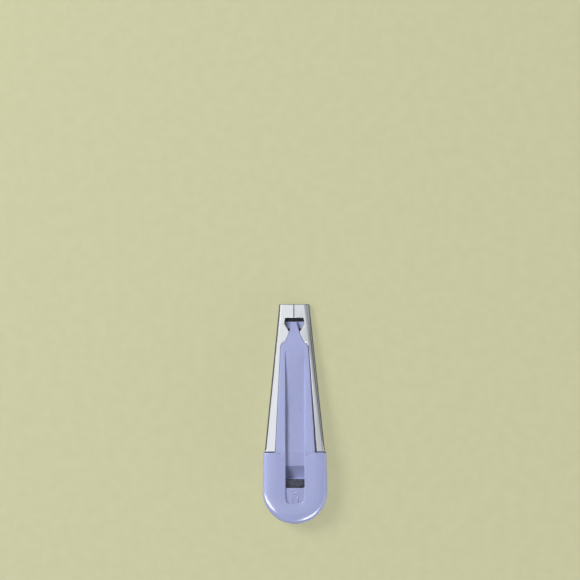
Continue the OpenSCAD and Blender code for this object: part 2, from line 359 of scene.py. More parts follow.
# %% [markdown]
# ## Windows, flanges and the seam
#
# On the real blank the seam, the window and the gap between the flanges are cut while the sheet is flat.
# Here one cutter does the same: its outline runs from the window's front edge past the neck,
# out round the flanges' shoulders and straight back. The shoulders are rounded on the outline,
# so the cut sheet gets a true round. The opening leans a little to the right towards the rear,
# because a bent sheet seldom closes quite evenly.

# %% Cut the opening and the seam
SEAM, SEAM_X, SEAM_END, SEAM_LOW = 0.24, -0.15, BAND_END + 0.7, 1.1
OVER_BENDS = 1.25
LEAN, WIDER = 0.0095, 0.12
WINDOW = [(3.15, BAND_END), (3.55, BAND_END + 2.0)]
SHOULDERS = [(1.85, NECK), (3.35, NECK + 3.5), (4.86, NECK + 4.5), (gap_half(16), 16)]
TAIL_OPENING = 8.0


def opening(gap):
    """Right side of the opening between the flanges, drawn in by a gap, from the neck back."""
    return [(x - gap, s) for x, s in SHOULDERS]


def shoulder_rounds(corner):
    """The rounds of the shoulders, whose first corner has this number in an outline."""
    return [([corner], 0.35, 3), ([corner + 1], 0.75, 5)]


behind = WALL_END + 1
cut_plan = WINDOW + opening(0) + [
    (gap_half(behind) + WIDER, behind), (TAIL_OPENING, behind + 1), (TAIL_OPENING, PAST_END)]
combine(folder, plan_solid(cut_plan, OVER_BENDS, PAST_TOP, shoulder_rounds(3), lean=(LEAN, LEAN)))
left, right = SEAM_X - SEAM / 2, SEAM_X + SEAM / 2
seam = [spot(x, s, SEAM_LOW) for x, s in ((left, -1), (right, -1), (right, SEAM_END), (left, SEAM_END))]
combine(folder, outline_solid(seam, (0, 0, 3)))
print("The seam is", SEAM, "mm wide, and the folder's mesh has", len(folder.data.polygons), "faces")

# %% [markdown]
# ## The tail and its snap windows
#
# Behind the tube the sheet runs on under the grip as a base with two low walls, which fall away to nothing.
# The moulding's snap lugs catch in a small window in each wall. Side outlines cut the walls to height,
# and two corner blocks, each with one rounded inner corner, give the base its rounded end.

# %% Cut the tail
FLANGE_END, TAIL_WALL, TAIL_FALL = WALL_END - 0.35, 3.0, 60.3
TAIL_ROUND, SPARE = 5.0, 2
tail_cut = [(FLANGE_END, PAST_TOP), (FLANGE_END, TAIL_WALL), (TAIL_FALL, TAIL_WALL),
            (TAIL_FALL + TAIL_WALL - SHEET, SHEET), (PAST_END, SHEET), (PAST_END, PAST_TOP)]
combine(folder, side_solid(tail_cut, PAST_SIDE, rounds=[([1], 0.5, 4), ([2], 1.0, 5)]))
for sign in (-1, 1):
    x0, x1, x2 = (sign * x for x in (TAIL_HALF - TAIL_ROUND, TAIL_HALF, TAIL_HALF + SPARE))
    s0, s1, s2 = TAIL_END - TAIL_ROUND, TAIL_END, TAIL_END + SPARE
    corner = [(x0, s1), (x0, s2), (x2, s2), (x2, s0), (x1, s0), (x1, s1)]
    combine(folder, outline_solid([spot(x, s, PAST_BASE) for x, s in corner], (0, 0, PAST_TOP),
                                  rounds=[([5], TAIL_ROUND, 12)]))
print("The tail's walls are", TAIL_WALL, "mm high")

# %% Cut the snap windows and finish the folder
LUG_AT, LUG_Z, LUG_LENGTH, LUG_HEIGHT = 58.7, 1.85, 3.0, 0.9
LUG_ENDS, LUG_EDGES = 0.15, 0.02
THROUGH = 0.9


def lug_block(x, thick, ends=0.0, edges=0.0, rounds=()):
    """A block where a snap lug is, thick from x to the right, with room at its ends and edges."""
    y, z = LUG_LENGTH / 2 + ends, LUG_HEIGHT / 2 + edges
    corners = [spot(x, LUG_AT + dy, LUG_Z + dz) for dy, dz in ((-y, -z), (y, -z), (y, z), (-y, z))]
    return outline_solid(corners, (thick, 0, 0), rounds)


for sign in (-1, 1):
    combine(folder, lug_block(sign * TAIL_HALF - THROUGH, 2 * THROUGH, LUG_ENDS, LUG_EDGES,
                              rounds=[([0, 1, 2, 3], 0.2, 3)]))
soften(folder, 0.1, 3, sharp=40)
divide(folder, 12.9, 14.1, 14.9, 17.1)
finish_piece(folder, "bent_folder", "nickel_sheet", "metal_folder")

# %% [markdown]
# ## The moulded guide
#
# The guide is one moulding: a tongue under the flanges, two rails that stand between them,
# and a grip over the wide end. Injection moulds are cut in much the same steps as these:
# blocks are joined, then the channel, the slot and the recess are cut from the top, and cells are cored out
# of the thick places from below, so that the plastic cools evenly.
# The strip folds round the tongue, so the tongue lies lower than the flanges by the sheet, the fabric
# and some room. Its body is what a plan and a side outline, each simple on its own, both fill.

# %% The tongue
FABRIC_ROOM, FIT = 0.55, 0.08
TONGUE, TONGUE_WIDE = 6.05, 9.25
UNDER_FRONT, UNDER_REAR = 0.95, 2.9
WING_DROP, NECK_DROP = 0.75, 0.15
SLOT, SLOT_END = 60.35, 63.3
HEAD_TOP, TOP_WALL = 7.75, 1.45
HOLLOW = HEAD_TOP - TOP_WALL
NOTCH = [(1.0, 8.5), (2.8, 8.5), (2.8, 9.9), (1.0, 9.9)]


def under(s):
    """Height of the guide's underside, over the strip."""
    return along(s, UNDER_FRONT, UNDER_REAR, TONGUE, SLOT)


def tongue_top(s):
    """Height of the tongue's top."""
    return flange_height(s) - SHEET - FABRIC_ROOM - WING_DROP


room = SHEET + FABRIC_ROOM
guide = plan_solid(
    [(half_width(TONGUE) - room, TONGUE), (half_width(WALL_END) - room, WALL_END), (TONGUE_WIDE, SLOT)],
    0, PAST_TOP, rounds=[([0], 0.5, 4)],
)
tongue_side = [
    (TONGUE, under(TONGUE)), (SLOT, under(SLOT)), (SLOT, HOLLOW + 0.1), (WALL_END, HOLLOW + 0.1),
    (WALL_END, tongue_top(WALL_END)), (NECK, tongue_top(NECK) - NECK_DROP), (TONGUE, tongue_top(TONGUE)),
]
combine(guide, side_solid(tongue_side, PAST_SIDE), "INTERSECT")
for sign in (-1, 1):
    combine(guide, outline_solid([spot(sign * x, s, 0) for x, s in NOTCH], (0, 0, PAST_TOP)))
print("The tongue starts", TONGUE, "mm behind the tip, with a small notch on each side at the neck")

# %% [markdown]
# ## The rails and the spear
#
# Between the flanges the plastic stands up to their tops, and a little over them towards the grip.
# The channel will part it into two rails. To the front it runs on as a narrow spear, which keeps
# the strip's two folded edges apart. The rails follow the opening's outline with a little play,
# so they use the same points as the folder's cutter. Their right side stays straight while the opening
# leans away from it, and the gap between the two shows as a dark line.

# %% The rails
RAIL_RISE, CHANNEL_START = 0.6, 15.6
RAIL_LEAN = 0.0075
SPEAR_HALF, SPEAR_LENGTH, SPEAR_RISE = 0.87, 4, 0.8


def rail_height(s):
    """Height of the rails' tops, which rise over the flanges towards the grip."""
    return flange_height(s) + RAIL_RISE * (s - CHANNEL_START) / (WALL_END - CHANNEL_START)


RAIL_TOP, RAIL_END = rail_height(WALL_END), SLOT - 1
rail_half = gap_half(WALL_END) - FIT
rail_plan = [(SPEAR_HALF, TONGUE)] + opening(FIT) + [(rail_half, WALL_END + 0.7), (rail_half, SLOT)]
rails = plan_solid(rail_plan, 0, PAST_TOP, shoulder_rounds(2), lean=(RAIL_LEAN, 0))
spear_end = TONGUE + SPEAR_LENGTH
rail_side = [
    (TONGUE, under(TONGUE) + 0.2), (RAIL_END, under(SLOT) + 0.4), (RAIL_END, RAIL_TOP), (WALL_END, RAIL_TOP),
    (CHANNEL_START, rail_height(CHANNEL_START)), (spear_end, flange_height(spear_end)),
    (TONGUE, tongue_top(TONGUE) + SPEAR_RISE),
]
combine(rails, side_solid(rail_side, PAST_SIDE), "INTERSECT")
combine(guide, rails, "UNION")
print("Tongue and rails have", len(guide.data.polygons), "faces")

# %% [markdown]
# ## The grip
#
# The grip is a cap with a round end. Its top is a low horseshoe: it rises from the channel to a ridge
# and falls again to the rim, the same way round the end. It could be sculpted, but then the ridge
# would wander. So one section of the wall, with its rounded rim, is spun by half a turn about
# the end's centre, and the faces left over at both ends of the turn are pulled forward to the shoulder.

# %% The section of the wall
TOOL_END, HEAD_RADIUS, SHOULDER_HALF = 75.7, 11.1, 10.9
END_CENTRE = TOOL_END - HEAD_RADIUS
RIM, SKIRT, SKIRT_LOW = 1.3, 10.08, 0.6
RIDGE, INNER_CURVE, OUTER_CURVE = 7.19, 23.5, 8.0
CHANNEL_HALF = 3.32


def crown(d):
    """Height of the grip's top at a distance from the middle line or from the end's centre."""
    curve = INNER_CURVE if d < RIDGE else OUTER_CURVE
    return HEAD_TOP - curve + math.sqrt(curve ** 2 - (max(d, CHANNEL_HALF) - RIDGE) ** 2)


rim_start = HEAD_RADIUS - RIM - 0.1
tops = [0, 1.6] + [CHANNEL_HALF + n * (rim_start - CHANNEL_HALF) / 11 for n in range(12)] + [HEAD_RADIUS]
section = [(d, crown(d)) for d in tops]
section += [(HEAD_RADIUS, SKIRT_LOW), (SKIRT, SKIRT_LOW), (SKIRT, HOLLOW), (0, HOLLOW)]
bm = bmesh.new()
corners = [bm.verts.new(spot(d, END_CENTRE, z)) for d, z in section]
bm.faces.new(corners)
round_corners(bm, [corners[len(tops) - 1]], RIM * 0.86, 12)
print("The section of the wall has", len(bm.verts), "points")

# %% Spin the round end and pull the sides forward
SHOULDER = WALL_END
wall = bm.faces[:][0]
bmesh.ops.spin(
    bm, geom=[wall] + wall.edges[:] + wall.verts[:], cent=spot(0, END_CENTRE, 0), axis=(0, 0, 1),
    dvec=(0, 0, 0), angle=-math.pi, steps=56, use_merge=False, use_duplicate=False,
)
bmesh.ops.remove_doubles(bm, verts=bm.verts, dist=0.001)
bmesh.ops.dissolve_degenerate(bm, edges=bm.edges, dist=0.001)
caps = [face for face in bm.faces if all(abs(back(v) - END_CENTRE) < 0.01 for v in face.verts)]
grown = bmesh.ops.extrude_face_region(bm, geom=caps)["geom"]
bmesh.ops.delete(bm, geom=caps, context="FACES_ONLY")
front = [item for item in grown if isinstance(item, bmesh.types.BMVert)]
bmesh.ops.translate(bm, verts=front, vec=(0, END_CENTRE - SHOULDER, 0))
print("The half turn left", len(caps), "faces, and their", len(front), "points went forward")

# %% Draw the shoulder in and round its front
def inside_skirt(v):
    """The points of the skirt's inner wall, which stay where they are."""
    return abs(abs(v.co.x) - SKIRT) < 0.01 and v.co.z < HOLLOW + 0.01


outer = [v for v in front if abs(v.co.x) > HEAD_RADIUS - RIM + 0.1 and not inside_skirt(v)]
for sign in (-1, 1):
    bmesh.ops.translate(bm, verts=[v for v in outer if v.co.x * sign > 0],
                        vec=(sign * (SHOULDER_HALF - HEAD_RADIUS), 0, 0))
rounded = set(outer) | {v for v in front if v.co.z > HOLLOW + 0.3}
front_edges = [edge for edge in bm.edges if set(edge.verts) <= rounded
               and len(edge.link_faces) == 2 and edge.calc_face_angle() > 1]
round_edges(bm, front_edges, 0.5, 5)
grip = as_object(bm, "grip")
print("The grip's mesh has", len(grip.data.polygons), "faces")

# %% [markdown]
# ## Under and before the grip
#
# Seen from below, the strip enters under the round end, so the skirt is cut away there.
# At the shoulder two shallow steps lead from the rails up to the crown. Each is the side of a wide, low cone,
# squashed along the tool. A snap lug on each side of the skirt fits its window in the folder.

# %% The way in, the steps and the snap lugs
MOUTH, MOUTH_TOP = 63.07, 4.75
STEP_FOOT, STEP_BRIM, STEP_DEEP, STEP_SQUASH = 1.7, 12.8, 3.0, 0.6
LUG_WIDTH = SHEET + 2 * FIT
mouth = [(MOUTH, PAST_BASE), (MOUTH, SKIRT_LOW), (MOUTH + MOUTH_TOP - SKIRT_LOW, MOUTH_TOP),
         (PAST_END, MOUTH_TOP), (PAST_END, PAST_BASE)]
combine(grip, side_solid(mouth, PAST_SIDE))
for sign in (-1, 1):
    bm = bmesh.new()
    bmesh.ops.create_cone(bm, cap_ends=True, segments=96, radius1=STEP_FOOT, radius2=STEP_BRIM,
                          depth=STEP_DEEP)
    bmesh.ops.scale(bm, verts=bm.verts, vec=(1, STEP_SQUASH, 1))
    bmesh.ops.translate(bm, verts=bm.verts, vec=spot(sign * CHANNEL_HALF, SHOULDER, RAIL_TOP + STEP_DEEP / 2))
    combine(grip, as_object(bm, "step"))
combine(guide, grip, "UNION")
for sign in (-1, 1):
    middle = sign * (SKIRT + FIT - LUG_WIDTH / 2)
    combine(guide, lug_block(middle - LUG_WIDTH / 2, LUG_WIDTH), "UNION")
print("The whole guide has", len(guide.data.polygons), "faces")

# %% [markdown]
# ## Channel, ramp, slot and recess
#
# The web comes up through the slot, over the ramp's lip and forward along the channel.
# The channel's floor rises in a soft curve until it meets the rails' tops near the neck.
# One side outline cuts all of it, so floor, ramp and lip meet without a gap.
# The slot and the recess behind it share the channel's width. The lip stands a little higher
# than the foot of the ramp, so it catches a thin line of light.

# %% Cut the channel and the ramp
CHANNEL_DEPTH, CURVE_LENGTH, CURVE_STEPS = 1.3, 24.7, 24
RAMP, RAMP_CURVE, RAMP_STEPS = 55.7, 1.35, 8
LIP, LIP_LOW, LIP_TOP = 59.85, 3.9, 4.25


def floor_height(s):
    """The channel's floor bends down from the rails' tops, then runs along under them."""
    t = min(1, (s - CHANNEL_START) / CURVE_LENGTH)
    return rail_height(s) - CHANNEL_DEPTH * (1 - (1 - t) ** 2)


def ramp_height(s):
    """The ramp is steep at first and runs out nearly level before the lip."""
    left = (LIP - s) / (LIP - RAMP)
    return LIP_LOW + (RAIL_TOP - CHANNEL_DEPTH - LIP_LOW) * left ** RAMP_CURVE


curve = [CHANNEL_START + CURVE_LENGTH * n / CURVE_STEPS for n in range(CURVE_STEPS + 1)]
descent = [RAMP + (LIP - RAMP) * n / RAMP_STEPS for n in range(RAMP_STEPS + 1)]
channel = [(s, floor_height(s)) for s in curve] + [(WALL_END, RAIL_TOP - CHANNEL_DEPTH)]
channel += [(s, ramp_height(s)) for s in descent] + [(SLOT, LIP_TOP), (SLOT + 1, LIP_TOP)]
channel += [(SLOT + 1, PAST_TOP), (CHANNEL_START, PAST_TOP)]
combine(guide, side_solid(channel, CHANNEL_HALF, rounds=[([CURVE_STEPS + 2], 0.08, 3)]))
print("The channel is", 2 * CHANNEL_HALF, "mm wide and", CHANNEL_DEPTH, "mm deep")

# %% Cut the slot and the recess
RECESS_FLOOR, RECESS_END = 6.9, 68.8
slot_plan = [(CHANNEL_HALF, SLOT), (CHANNEL_HALF, SLOT_END)]
combine(guide, plan_solid(slot_plan, PAST_BASE, PAST_TOP, rounds=[([1], 0.7, 6)]))
recess_plan = [(CHANNEL_HALF, SLOT_END - 1), (CHANNEL_HALF, RECESS_END)]
combine(guide, plan_solid(recess_plan, RECESS_FLOOR, PAST_TOP, rounds=[([1], 1.9, 10)]))
print("The slot is", round(SLOT_END - SLOT, 2), "mm long, and the recess ends at s =", RECESS_END)

# %% [markdown]
# ## A softer right edge
#
# The channel's left top edge is crisp and its right one is wide and soft, as where a mould has been polished.
# A bevel would widen evenly and start with a hard end. So one cutter with the round's hollow section
# is pushed back along the rail. It starts above the edge, sinks in, stays for a while,
# and rises out again at the shoulder, so the round comes and goes without a corner.

# %% Cut the right edge's round
ROUND_WIDE, ROUND_DEEP = 1.03, 0.4
ROUND_STARTS, ROUND_FULL, ROUND_FADES = 15.8, 21.2, 48
CLEAR, OVER = 0.42, 0.4
turns = [math.radians(angle) for angle in (0, 6, 14, 24, 36, 50, 70, 97)]
at, top = ROUND_STARTS, rail_height(ROUND_STARTS) + CLEAR
arc = [(CHANNEL_HALF + ROUND_WIDE * (1 - math.cos(a)), top - ROUND_DEEP * (1 - math.sin(a))) for a in turns]
arc += [(CHANNEL_HALF + 1.2, top + OVER), (CHANNEL_HALF - 0.3, top + OVER),
        (CHANNEL_HALF - 0.3, top - ROUND_DEEP)]
bm = bmesh.new()
face = bm.faces.new([bm.verts.new(spot(x, at, z)) for x, z in arc])
for s, lift in ((ROUND_FULL, 0), (ROUND_FADES, 0), (WALL_END + 0.2, CLEAR)):
    moved = push_face(bm, face, (0, at - s, rail_height(s) + lift - top))
    face = face_of(bm, moved)
    at, top = s, rail_height(s) + lift
combine(guide, as_object(bm, "round"))
print("The right edge is rounded over", ROUND_FADES - ROUND_FULL, "mm, and fades at both ends")

# %% [markdown]
# ## The cored underside
#
# A thick moulding shrinks as it cools and leaves dents on its show side. So the real ones are cored:
# cells with ribs between them keep every wall about as thick. Each cell here is a block pushed up from its
# four corners, whose roof then slopes with the tool.

# %% Core the underside
CORE_FRONT, CORE_REAR, RIB, CELLS, ROOF = 14.7, RAMP - 1, 0.9, 4, 1
SHALLOW, DEEP = rail_height(CORE_FRONT) - CHANNEL_DEPTH / 4 - ROOF, RAIL_TOP - CHANNEL_DEPTH - ROOF
pitch = (CORE_REAR - CORE_FRONT + RIB) / CELLS
for n in range(CELLS):
    near, far = CORE_FRONT + n * pitch, CORE_FRONT + (n + 1) * pitch - RIB
    wide_near, wide_far = gap_half(near) - 1, gap_half(far) - 1
    bm = bmesh.new()
    corners = [(wide_near, near), (wide_far, far), (-wide_far, far), (-wide_near, near)]
    base = bm.faces.new([bm.verts.new(spot(x, s, PAST_BASE)) for x, s in corners])
    for v in push_face(bm, base, (0, 0, 1)):
        v.co.z = min(DEEP, along(back(v), SHALLOW, DEEP, CORE_FRONT))
    upright = [edge for edge in bm.edges if abs(edge.verts[0].co.z - edge.verts[1].co.z) > 1.5]
    round_edges(bm, upright, 0.5, 4)
    combine(guide, as_object(bm, "cell"))
print(CELLS, "cells, each", round(pitch - RIB, 2), "mm long")

# %% [markdown]
# ## The moulding's edges
#
# A mould's edges are never quite sharp. Most of the guide's edges get a round of 0.3 mm.
# The channel's left edge and the lip stay crisper, and the thin tongue and the underside have no room
# for a wide round, so these get 0.1 mm. A few edges stay as they are: the inner corners at the shoulder,
# the channel's foot, its start, where its walls grow out of nothing, and the round that was just cut.

# %% Edges that stay as they are
NEAR = 0.02
WALLS_LOW = 19.8


def on_channel_wall(v):
    """Points on either wall of the channel."""
    return abs(abs(v.co.x) - CHANNEL_HALF) < NEAR


def in_round(v):
    """Points on the soft right edge of the channel."""
    return (0 < v.co.x - CHANNEL_HALF + NEAR < 1.3 and 15 < back(v) < WALL_END + 0.25
            and v.co.z > rail_height(back(v)) - 0.5)


def hard_to_round(edge):
    """Inner corners at the shoulder, the channel's foot and its start, and the soft right edge."""
    inner = not edge.is_convex
    corner = inner and all(abs(back(v) - SHOULDER) < 0.7 for v in edge.verts)
    foot = inner and all(on_channel_wall(v) for v in edge.verts)
    start = any(on_channel_wall(v) and back(v) < WALLS_LOW for v in edge.verts)
    return corner or foot or start or all(in_round(v) for v in edge.verts)


# %% Edges that get the narrow round
def on_left_edge(v):
    """Points on the left top edge of the channel and the recess."""
    s = back(v)
    top = rail_height(s) if s < WALL_END else crown(0)
    return -CHANNEL_HALF - NEAR < v.co.x < -1.2 and 19 < s < RECESS_END + NEAR and v.co.z > top - 0.05


def crisp(edge):
    """The lip's edge and the left top edge of the channel and the recess."""
    lip = all(abs(back(v) - SLOT) < NEAR and abs(v.co.z - LIP_TOP) < NEAR for v in edge.verts)
    return edge.is_convex and (lip or all(on_left_edge(v) for v in edge.verts))


def thin(edge):
    """The tongue and the underside, which are too thin for the wide round."""
    def is_low(v):
        s = back(v)
        return v.co.z < (rail_height(s) - 0.35 if s < WALL_END - 0.05 else HOLLOW + 0.1)

    return all(is_low(v) for v in edge.verts)


# %% Round the edges and finish the guide
soften(guide, 0.3, 5, sharp=32, leave=lambda e: hard_to_round(e) or crisp(e) or thin(e))
soften(guide, 0.1, 3, sharp=60, leave=lambda e: hard_to_round(e) or not (crisp(e) or thin(e)))
divide(guide, 12.3, 47.2, 50.6, 53.0)
finish_piece(guide, "moulded_guide", "lavender_plastic", "web_guide")

# %% [markdown]
# ## The size number and the gate mark
#
# The number in the recess tells which tape the tool makes. It is cut into the mould, so it stands up a little
# from the plastic, with round strokes. A text object would give flat strokes. So a ring is spun from a small
# rounded section for the bowl of the nine, and part of a wider turn of the same section makes its tail.
# The gate mark is the small disc left on the channel's floor where the plastic was let into the mould.

# %% Spin the bowl and the tail of the nine
NINE_X, NINE_AT, BOWL, TAIL, STROKE, RELIEF = -0.1, 67.15, 1.2, 2.6, 0.28, 0.18
SUNK = 0.02


def stroke(centre, radius, start, turn, steps, name):
    """A bead with a low arched section along an arc about a centre; start and turn are in degrees."""
    bm = bmesh.new()
    bmesh.ops.create_circle(bm, cap_ends=True, segments=16, radius=STROKE)
    bmesh.ops.rotate(bm, verts=bm.verts, matrix=Matrix.Rotation(math.radians(90), 3, "X"))
    bmesh.ops.scale(bm, verts=bm.verts, vec=(1, 1, RELIEF / STROKE))
    bmesh.ops.translate(bm, verts=bm.verts, vec=centre + Vector((radius, 0, 0)))
    bmesh.ops.rotate(bm, verts=bm.verts, cent=centre, matrix=Matrix.Rotation(math.radians(start), 3, "Z"))
    whole = abs(turn) == 360
    bmesh.ops.spin(
        bm, geom=bm.faces[:] + bm.edges[:] + bm.verts[:], cent=centre, axis=(0, 0, 1),
        dvec=(0, 0, 0), angle=math.radians(turn), steps=steps, use_merge=whole, use_duplicate=False,
    )
    if whole:
        bmesh.ops.remove_doubles(bm, verts=bm.verts, dist=0.002)
        bmesh.ops.delete(bm, geom=[face for face in bm.faces if len(face.verts) > 4], context="FACES_ONLY")
    return as_object(bm, name)


bowl = spot(NINE_X, NINE_AT, RECESS_FLOOR - SUNK)
nine = stroke(bowl, BOWL, 0, 360, 48, "nine")
tail = stroke(bowl + Vector((TAIL - BOWL, 0, 0)), TAIL, 180, -81, 16, "tail")
combine(nine, tail, "UNION")
finish_piece(nine, "size_number", "lavender_plastic")

# %% The gate mark on the channel's floor
GATE_X, GATE_AT = 1.7, 36.9
bm = bmesh.new()
bmesh.ops.create_cone(bm, cap_ends=True, segments=32, radius1=0.5, radius2=0.42, depth=0.26)
bmesh.ops.translate(bm, verts=bm.verts, vec=spot(GATE_X, GATE_AT, floor_height(GATE_AT) - SUNK))
gate = as_object(bm, "gate")
finish_piece(gate, "gate_mark", "lavender_plastic")

# %% [markdown]
# ## Finishes
#
# Each finish is a small node tree on one Principled shader. Its patterns are noise on the piece's own
# coordinates, in metres, so nothing has to be unwrapped, and streaks keep their true size.
# The same few kinds of node come back in every finish, so short helpers make them.

# %% A material and its node tree
def new_material(name):
    """A material, its nodes and links, its shader, and the place on the piece as a socket."""
    material = bpy.data.materials.new(name)
    material.use_nodes = True
    nodes, links = material.node_tree.nodes, material.node_tree.links
    place = nodes.new("ShaderNodeTexCoord").outputs["Object"]
    return material, nodes, links, nodes["Principled BSDF"], place


def dress(material, *pieces):
    """Gives pieces a material in place of any that they have."""
    for piece in pieces:
        piece.data.materials.clear()
        piece.data.materials.append(material)
    print(material.name, "has", len(material.node_tree.nodes), "nodes")


# %% Nodes for numbers and colours
def node_math(operation, first, second=None):
    """A Math node; a number is set on its socket and anything else is linked."""
    node = nodes.new("ShaderNodeMath")
    node.operation = operation
    for socket, value in zip(node.inputs, (first, second)):
        if isinstance(value, (int, float)):
            socket.default_value = value
        elif value is not None:
            links.new(value, socket)
    return node.outputs["Value"]


def split(vector):
    """The X, Y and Z of a vector."""
    node = nodes.new("ShaderNodeSeparateXYZ")
    links.new(vector, node.inputs["Vector"])
    return node.outputs


def fade(value, start, end, first=0, last=1):
    """Goes softly from first to last while a value goes from start to end."""
    node = nodes.new("ShaderNodeMapRange")
    node.interpolation_type = "SMOOTHSTEP"
    for name, number in (("From Min", start), ("From Max", end), ("To Min", first), ("To Max", last)):
        node.inputs[name].default_value = number
    links.new(value, node.inputs["Value"])
    return node.outputs["Result"]


def blend(factor, first, second):
    """Mixes two colours; each is a colour or a socket."""
    node = nodes.new("ShaderNodeMix")
    node.data_type = "RGBA"
    links.new(factor, node.inputs["Factor"])
    for socket, colour in ((node.inputs["A"], first), (node.inputs["B"], second)):
        if isinstance(colour, tuple):
            socket.default_value = (*colour, 1)
        else:
            links.new(colour, socket)
    return node.outputs["Result"]


# %% Nodes for patterns and relief
def noise(scale, detail):
    """Noise from 0 to 1 on the piece's own coordinates; scale holds waves a metre along x, y and z."""
    stretch = nodes.new("ShaderNodeVectorMath")
    stretch.operation = "MULTIPLY"
    links.new(place, stretch.inputs[0])
    stretch.inputs[1].default_value = scale
    node = nodes.new("ShaderNodeTexNoise")
    node.inputs["Scale"].default_value = 1.0
    node.inputs["Detail"].default_value = detail
    node.inputs["Roughness"].default_value = 0.5
    links.new(stretch.outputs["Vector"], node.inputs["Vector"])
    return node.outputs["Fac"]


def relief(*layers):
    """Bump nodes in a row; each layer is a height and how far it reaches in metres."""
    normal = None
    for height, reach in layers:
        bump = nodes.new("ShaderNodeBump")
        bump.inputs["Distance"].default_value = reach
        links.new(height, bump.inputs["Height"])
        if normal:
            links.new(normal, bump.inputs["Normal"])
        normal = bump.outputs["Normal"]
    links.new(normal, shader.inputs["Normal"])


# %% [markdown]
# ## Bright nickel
#
# The sheet is polished and plated after it is bent. It is close to a mirror, but never an even one:
# fingers leave soft smudges, fabric rubs fine streaks along the tool, and the rolling of the sheet
# shows as a slight waviness. Where the sheet was sheared, the metal is duller. The floor of the tube is
# rough, and its colour is darkened, most towards the tip, with a violet cast: painted shade for the shade
# inside the tube under the window and the slot, and a painted reflection of the lavender plastic. An image
# could hold all this, but noise stretched along the tool is as fine from close by as from afar. The two
# special places are found from the point's own coordinates and from which way the surface faces.

# %% Where the sheet is dull, and where shade is painted on the tube's floor
nickel, nodes, links, shader, place = new_material("bright_nickel")
shader.inputs["Metallic"].default_value = 1
at = split(place)
up = split(nodes.new("ShaderNodeNewGeometry").outputs["Normal"])["Z"]
# In metres: halfway along the tool the flanges' cut edges lie within this x, which shrinks towards the tip.
GAP_SLOPE, GAP_MIDDLE = -0.0604, 0.0067
# near_base and facing up pick out the tube's floor, where shade is painted in the colour below.
near_base = fade(at["Z"], 0.0006, 0.0008, 1, 0)
inside = node_math("MULTIPLY", near_base, fade(up, 0.3, 0.6))
gap_here = node_math("ADD", node_math("MULTIPLY", at["Y"], GAP_SLOPE), GAP_MIDDLE)
within = node_math("SUBTRACT", gap_here, node_math("ABSOLUTE", at["X"]))
cut_places = node_math("MAXIMUM", fade(within, -0.0005, -0.0003), fade(at["Y"], -0.0127, -0.0123, 1, 0))
sheared = node_math("MULTIPLY", cut_places, fade(up, 0.9, 0.97, 1, 0))
sheared = node_math("MULTIPLY", sheared, fade(at["Z"], 0.0018, 0.002))
print("Sheared edges lie within", GAP_MIDDLE * 1000, "mm of the middle line halfway along the tool")

# %% Colour, gloss and relief of the nickel
CLEAN, SMUDGED = (0.735, 0.745, 0.755), (0.70, 0.71, 0.725)
mottle = noise((700, 700, 700), 3)
# Painted shade: the tube's floor is darkened from 0.17 at the rear to 0.04 at the tip, and blue is raised as
# a painted reflection of the violet plastic.
floor_shade = node_math("MULTIPLY", fade(at["Y"], -0.02, 0.02, 0.17, 0.04), fade(mottle, 0.3, 0.7, 0.75, 1.25))
floor_shade_colour = nodes.new("ShaderNodeCombineColor")
for socket, share in zip(floor_shade_colour.inputs, (1, 1, 1.25)):
    links.new(node_math("MULTIPLY", floor_shade, share), socket)
smudge = noise((90, 45, 90), 4)
rubbed = noise((2600, 110, 900), 3)
tint = blend(fade(smudge, 0.35, 0.7), CLEAN, SMUDGED)
links.new(blend(inside, tint, floor_shade_colour.outputs["Color"]), shader.inputs["Base Color"])
gloss = node_math("ADD", fade(smudge, 0.35, 0.7, 0.08, 0.15), fade(rubbed, 0.5, 0.75, 0, 0.06))
gloss = node_math("MAXIMUM", gloss, node_math("MULTIPLY", sheared, 0.5))
links.new(node_math("MAXIMUM", gloss, node_math("MULTIPLY", inside, 0.42)), shader.inputs["Roughness"])
relief((noise((300, 120, 300), 2), 1.6e-5), (noise((1300, 160, 700), 2), 2.6e-6), (rubbed, 6e-7))
dress(nickel, folder)

# %% [markdown]
# ## Lavender moulding
#
# The plastic is coloured in the mass and comes from a polished mould, so it is smooth and satin to glossy.
# Its colour and gloss drift a little where the melt flowed, and a fine grain is just visible in a highlight.
# Some light goes into it and comes out again nearby, which softens its shadows. So it gets a low noise,
# stretched along the flow, in colour and roughness, two faint bumps, and subsurface light over 0.3 mm.

# %% Colour, gloss and relief of the plastic
LAVENDER, DEEPER = (0.335, 0.366, 0.598), (0.322, 0.351, 0.578)
plastic, nodes, links, shader, place = new_material("lavender_moulding")
flow = noise((120, 60, 160), 3)
links.new(blend(fade(flow, 0.3, 0.7), LAVENDER, DEEPER), shader.inputs["Base Color"])
links.new(fade(flow, 0.3, 0.7, 0.15, 0.2), shader.inputs["Roughness"])
for name, value in (
    ("Specular IOR Level", 0.8), ("Subsurface Weight", 0.3),
    ("Subsurface Radius", (0.5, 0.55, 1.0)), ("Subsurface Scale", 0.0003),
):
    shader.inputs[name].default_value = value
relief((noise((220, 220, 220), 2), 4e-6), (noise((3000, 3000, 3000), 2), 5e-7))
dress(plastic, guide, nine, gate)

# %% [markdown]
# ## Floor and lamps
#
# The tool lies on a plain pale floor. The floor's colour is mostly emitted, so it stays even, with only
# as much reflected light as shows the tool's soft shadow. In reflections it is darker, so that it doesn't
# lift the dark parts of the metal. A soft key from the left, and a little from the tip's side,
# gives the shadow along the channel's left wall, and a low fill lights the right rim.
# Three more lamps are seen only as reflections: they lay the bright crescents on the grip,
# while the broad light stays even.

